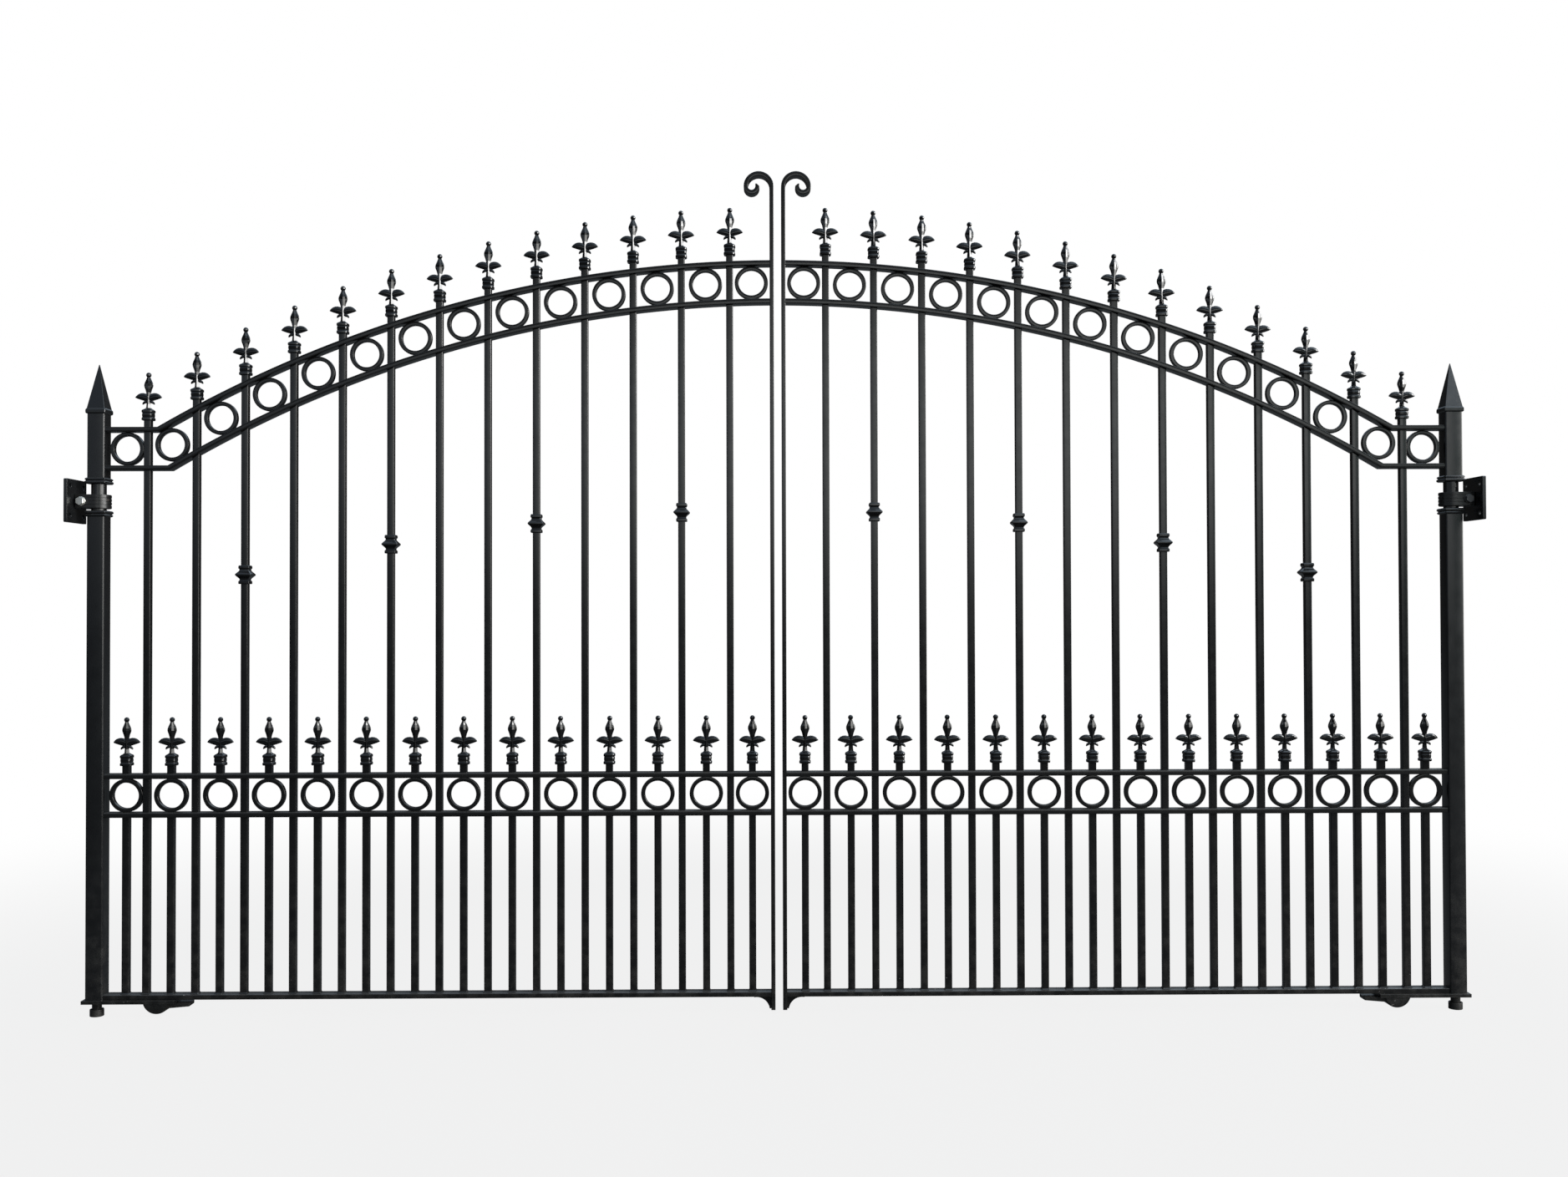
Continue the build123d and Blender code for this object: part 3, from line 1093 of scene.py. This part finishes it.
@dataclass
class HeelPost:
    """Square heel post with its journal, its two collars and its pointed cap.

    The tables are half widths and heights. They and the journal's radius are in millimetres.
    """

    side: Side
    half: float = 0.025
    corner: float = 0.005
    journal_low: float = 1.459
    journal_high: float = 1.536
    journal_radius: float = 21.0
    finish: Finish = POST_PAINT_AND_SHEEN
    collar: tuple[Level, ...] = (
        (25.0, 0.0), (27.8, 1.2), (29.4, 3.0), (29.7, 5.0), (28.8, 6.6), (27.3, 7.6),
        (27.5, 8.6), (29.7, 10.4), (30.5, 12.0), (30.5, 14.4), (29.7, 16.2), (27.5, 18.0),
    )
    cap: tuple[Level, ...] = (
        (25.1, 0.0), (27.6, 1.4), (28.5, 3.6), (28.5, 10.6), (27.9, 12.8), (25.7, 16.0),
        (1.0, 144.0), (0.3, 145.0),
    )

    def shaft(self, low: float, high: float) -> Blank:
        """Square length of the post between two levels."""
        box = Span(Vector((-self.half, -self.half, low)), Vector((self.half, self.half, high)))
        return Blank.block(box, self.corner, Along.Z)

    def build(self) -> None:
        """Build the post and its cap."""
        low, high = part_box(Side.LEFT.node("heel_post"))
        collar_height = self.collar[-1][1]
        lower = self.journal_low - collar_height * MM
        upper = self.journal_high + collar_height * MM
        turned = [(wide, collar_height - z) for wide, z in reversed(self.collar)]
        length = (self.journal_high - self.journal_low) / MM
        journal = [(self.journal_radius, 0.0), (self.journal_radius, length)]
        post = self.shaft(low.z, lower)
        post.add(self.shaft(upper, high.z))
        post.add(Blank.stack(UNIT_SQUARE, self.collar), raised(lower))
        post.add(Blank.stack(UNIT_SQUARE, turned), raised(self.journal_high))
        post.add(Blank.stack(UNIT_ROUND, journal), raised(self.journal_low))
        post.publish("heel_post", self.side, self.side.leaf, self.finish)
        cap_low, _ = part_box(Side.LEFT.node("post_cap"))
        cap = Blank().add(Blank.stack(CRISP_SQUARE, self.cap), raised(cap_low.z))
        cap.publish("post_cap", self.side, self.side.leaf, self.finish)


@dataclass
class MeetingStile:
    """Flat meeting stile that rolls into a scroll at its top, and its hollow-edged foot."""

    side: Side
    thickness: float = 0.012
    depth: float = 0.040
    corner: float = 0.0014
    outer_radius: float = 0.0375
    inner_radius: float = 0.017
    tip_length: float = 0.007
    tip_share: float = 0.35
    turn_steps: int = 18
    foot_edge: float = 0.001
    finish: Finish = RAIL_PAINT

    def build(self) -> None:
        """Build the stile with its scroll, and the foot."""
        low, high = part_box(Side.LEFT.node("meeting_stile"))
        half = self.thickness / 2
        stem = high.x - half
        level = high.z - self.outer_radius - half
        frames = [in_plane(stem, low.z, math.pi / 2)]
        outer = stem - self.outer_radius
        inner = outer - self.outer_radius + self.inner_radius
        turns = ((outer, self.outer_radius, 0.0), (inner, self.inner_radius, math.pi))
        for centre, radius, start in turns:
            for step in range(self.turn_steps + 1 if start > 0 else self.turn_steps):
                angle = start + math.pi * step / self.turn_steps
                x, z = centre + radius * math.cos(angle), level + radius * math.sin(angle)
                frames.append(in_plane(x, z, angle + math.pi / 2))
        thin = Matrix.Diagonal((self.tip_share, 1.0, 1.0, 1.0))
        tip = inner + self.inner_radius - half * (1 - self.tip_share)
        frames.append(in_plane(tip, level + self.tip_length, math.pi / 2) @ thin)
        section = Section(half, self.depth / 2, corner=self.corner)
        stile = Blank.grow(section, frames)
        stile.publish("meeting_stile", self.side, self.side.leaf, self.finish)
        foot = Blank.copy_of(Side.LEFT.node("stop_foot"), self.foot_edge)
        foot.publish("stop_foot", self.side, self.side.leaf, self.finish)


@dataclass
class Pivot:
    """Arm with its pin and the release housing under the heel, and the seat in the ground."""

    side: Side
    edge: float = 0.0012

    def build(self) -> None:
        """Build the moving arm and housing, and the fixed seat."""
        for piece in ("pivot_arm", "release_housing"):
            copy = Blank.copy_of(Side.LEFT.node(piece), self.edge)
            copy.publish(piece, self.side, self.side.leaf, WORN_PAINT)
        seat = Blank.copy_of(Side.LEFT.node("pivot_seat"), self.edge)
        seat.publish("pivot_seat", self.side, FIXED_BODY, SEAT_IRON)


@dataclass
class WallHinge:
    """Wall plate with its lug, the reeded strap round the journal, and the hexagon bolt.

    Sizes of the bolt are in millimetres.
    """

    side: Side
    edge: float = 0.0006
    flats: float = 22.0
    head: float = 9.0
    head_chamfer: float = 1.6
    head_top_share: float = 0.9
    washer_radius: float = 13.5
    washer: float = 2.5
    washer_under: float = 0.4
    washer_over: float = 0.5
    shank_radius: float = 7.0
    thread_pitch: float = 1.5
    thread_depth: float = 0.8
    thread_lap: float = 1.0
    tail_chamfer: float = 1.0

    def bolt(self, span: Span) -> Blank:
        """Bolt with its washers and nut.

        Args:
            span: Box of the bolt's solid.

        Returns:
            The bolt in its place.
        """
        corner = self.flats / math.sqrt(3)
        reach = -span.low.y / MM
        tail = span.high.y / MM
        seat = reach - self.head
        hexagon = [
            (corner, 0.0),
            (corner, self.head - self.head_chamfer),
            (corner * self.head_top_share, self.head),
        ]
        rim = self.washer_radius
        washer = [
            (rim - self.washer_under, 0.0),
            (rim, self.washer_under),
            (rim, self.washer - self.washer_over),
            (rim - self.washer_over, self.washer),
        ]
        blank = Blank()
        middle = Matrix.Translation((span.centre.x, 0.0, span.centre.z))
        head_side = middle @ Matrix.Rotation(math.pi / 2, 4, "X")
        nut_side = middle @ Matrix.Rotation(-math.pi / 2, 4, "X")
        for turned in (head_side, nut_side):
            blank.add(Blank.stack(UNIT_ROUND, washer), turned @ raised((seat - self.washer) * MM))
            blank.add(Blank.stack(HEXAGON, hexagon), turned @ raised(seat * MM))
        crest = self.shank_radius
        root = crest - self.thread_depth
        levels = [(crest, 0.0)]
        height = seat + self.head - self.thread_lap
        while height < tail - self.thread_pitch:
            levels += [(crest, height), (root, height + self.thread_pitch / 2)]
            height += self.thread_pitch
        levels += [(crest, height), (crest - self.tail_chamfer, tail)]
        return blank.add(Blank.stack(UNIT_ROUND, levels), nut_side)

    def build(self) -> None:
        """Build the plate, the strap and the bolt."""
        for piece, finish in (("hinge_plate", POST_PAINT_AND_SHEEN), ("hinge_strap", WORN_PAINT)):
            copy = Blank.copy_of(Side.LEFT.node(piece), self.edge)
            copy.publish(piece, self.side, FIXED_BODY, finish)
        bolt = self.bolt(Span(*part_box(Side.LEFT.node("hinge_bolt"))))
        finish = ZINC if self.side is Side.LEFT else DULL_ZINC
        bolt.publish("hinge_bolt", self.side, FIXED_BODY, finish)


@dataclass
class Viewpoint:
    """Camera at the photograph's place, on an image of its size."""

    place: Point = (1.9418, -4.430, 1.1639)
    yaw: float = math.radians(0.588)
    pitch: float = math.radians(0.84)
    roll: float = math.radians(-0.15)
    focal_pixels: float = 1820.9
    image_width: int = 1877
    sensor: float = 36.0

    def build(self) -> None:
        """Create the camera and make it the scene's own."""
        data = bpy.data.cameras.new("drive_camera")
        data.sensor_fit = "HORIZONTAL"
        data.sensor_width = self.sensor
        data.lens = self.focal_pixels / self.image_width * self.sensor
        camera = bpy.data.objects.new("drive_camera", data)
        bpy.context.scene.collection.objects.link(camera)
        ahead = Vector(
            (
                math.sin(self.yaw) * math.cos(self.pitch),
                math.cos(self.yaw) * math.cos(self.pitch),
                math.sin(self.pitch),
            )
        )
        level = ahead.cross(AXIS_Z).normalized()
        right = level * math.cos(self.roll) + level.cross(ahead) * math.sin(self.roll)
        camera.matrix_world = basis(right, right.cross(ahead), -ahead, Vector(self.place))
        bpy.context.scene.camera = camera


@dataclass
class Studio:
    """Pale floor, a soft lamp and a white surround.

    The surround has a band low over the drive and a bright dome, both stronger to the right, and
    a glare low on the right. Limits are parts of a unit direction, X to the right, Y to the yard
    and Z up, at which a share is 0 and 1.
    """

    floor_size: float = 60.0
    floor_colour: Colour = (0.07, 0.0685, 0.0665)
    floor_white: float = 0.86
    fade: Limits = (2.0, 5.5)
    gloss_share: float = 0.02
    low_light: Colour = (0.02, 0.02, 0.02)
    left_band: Colour = (0.52, 0.59, 0.67)
    right_band: Colour = (2.3, 2.4, 2.38)
    far_band: Colour = (0.62, 0.78, 0.78)
    band_x: Limits = (-0.40, 0.25)
    far_band_x: Limits = (0.33, 0.40)
    band_y: Limits = (0.40, -0.10)
    band_foot: Limits = (-0.01, 0.09)
    band_top: Limits = (0.23, 0.17)
    glare: Colour = (6.0, 6.0, 5.8)
    glare_x: Limits = (0.56, 0.68)
    glare_y: Limits = (0.30, 0.10)
    glare_foot: Limits = (-0.08, 0.02)
    glare_top: Limits = (0.34, 0.26)
    left_dome: Colour = (0.45, 0.56, 0.70)
    right_dome: Colour = (1.6, 1.95, 2.25)
    dome_x: Limits = (-0.20, 0.50)
    dome_foot: Limits = (0.28, 0.52)
    lamp_place: Point = (9.3, -2.75, 4.4)
    lamp_target: Point = (SPAN / 2, 0.0, 1.1)
    lamp_width: float = 5.8
    lamp_height: float = 2.8
    lamp_power: float = 870.0

    def background(self, board: Board) -> Wire:
        """Share of plain white that a ray sees.

        Args:
            board: Node tree of the floor or the world.

        Returns:
            1 for the camera and through glass, less for glossy paint.
        """
        camera = board.node("ShaderNodeLightPath", output="Is Camera Ray")
        through = board.node("ShaderNodeLightPath", output="Is Transmission Ray")
        glossy = board.node("ShaderNodeLightPath", output="Is Glossy Ray")
        return camera.over(through).over(glossy * self.gloss_share)

    def floor(self) -> None:
        """Lay the floor at the foot of the gate, white at a distance."""
        mesh = bmesh.new()
        bmesh.ops.create_grid(mesh, x_segments=1, y_segments=1, size=self.floor_size / 2)
        data = bpy.data.meshes.new("pale_floor")
        mesh.to_mesh(data)
        mesh.free()
        material = bpy.data.materials.new("pale_floor")
        material.use_nodes = True
        board = Board(material.node_tree)
        ends = {0: board.node("ShaderNodeTexCoord", output="Object"), 1: (SPAN / 2, 0.0, 0.0)}
        away = board.node("ShaderNodeVectorMath", {"operation": "DISTANCE"}, ends, "Value")
        share = away.ease(self.fade) * (1.0 - self.floor_white) + self.floor_white
        plain = board.node("ShaderNodeBsdfDiffuse", {}, {"Color": rgba(self.floor_colour)})
        white = board.node("ShaderNodeEmission", {}, {"Color": rgba(WHITE), "Strength": 1.0})
        blend = {0: self.background(board) * share, 1: plain, 2: white}
        mixed = board.node("ShaderNodeMixShader", {}, blend)
        board.node("ShaderNodeOutputMaterial", {}, {"Surface": mixed})
        data.materials.append(material)
        floor = bpy.data.objects.new("pale_floor", data)
        bpy.context.scene.collection.objects.link(floor)

    def surround(self) -> None:
        """Light the scene from all round, with white for the camera."""
        world = bpy.data.worlds.new("surround")
        world.use_nodes = True
        bpy.context.scene.world = world
        board = Board(world.node_tree)
        direction = board.node("ShaderNodeTexCoord", output="Generated")
        x, y, z = board.axes(direction)
        band = z.ease(self.band_foot) * z.ease(self.band_top) * y.ease(self.band_y)
        drive = board.mix(x.ease(self.band_x), self.left_band, self.right_band)
        drive = board.mix(x.ease(self.far_band_x), drive, self.far_band)
        lit = board.mix(band, self.low_light, drive)
        low_right = x.ease(self.glare_x) * y.ease(self.glare_y)
        low_right = low_right * z.ease(self.glare_foot) * z.ease(self.glare_top)
        lit = board.mix(low_right, lit, self.glare)
        dome = board.mix(x.ease(self.dome_x), self.left_dome, self.right_dome)
        lit = board.mix(z.ease(self.dome_foot), lit, dome)
        seen = board.mix(self.background(board), lit, WHITE)
        back = board.node("ShaderNodeBackground", {}, {"Color": seen, "Strength": 1.0})
        board.node("ShaderNodeOutputWorld", {}, {"Surface": back})

    def softbox(self) -> None:
        """Hang the soft rectangular lamp on the right, turned to the gate."""
        data = bpy.data.lights.new("right_softbox", "AREA")
        data.shape = "RECTANGLE"
        data.size = self.lamp_width
        data.size_y = self.lamp_height
        data.energy = self.lamp_power
        lamp = bpy.data.objects.new("right_softbox", data)
        ahead = Vector(self.lamp_target) - Vector(self.lamp_place)
        lamp.rotation_euler = ahead.to_track_quat("-Z", "Y").to_euler()
        lamp.location = self.lamp_place
        bpy.context.scene.collection.objects.link(lamp)

    def build(self) -> None:
        """Set the floor, the surround and the lamp."""
        self.floor()
        self.surround()
        self.softbox()


ASSEMBLIES = (
    Arch,
    LevelRails,
    Bars,
    Rings,
    Finials,
    Bushes,
    HeelPost,
    MeetingStile,
    Pivot,
    WallHinge,
)


def main() -> None:
    """Build the gate piece by piece and set it in the studio."""
    logging.basicConfig(level=logging.INFO, format="%(message)s")
    bpy.context.scene.view_settings.view_transform = "Standard"
    Viewpoint().build()
    Studio().build()
    for side in Side:
        for assembly in ASSEMBLIES:
            assembly(side).build()


if __name__ == "__main__":
    main()
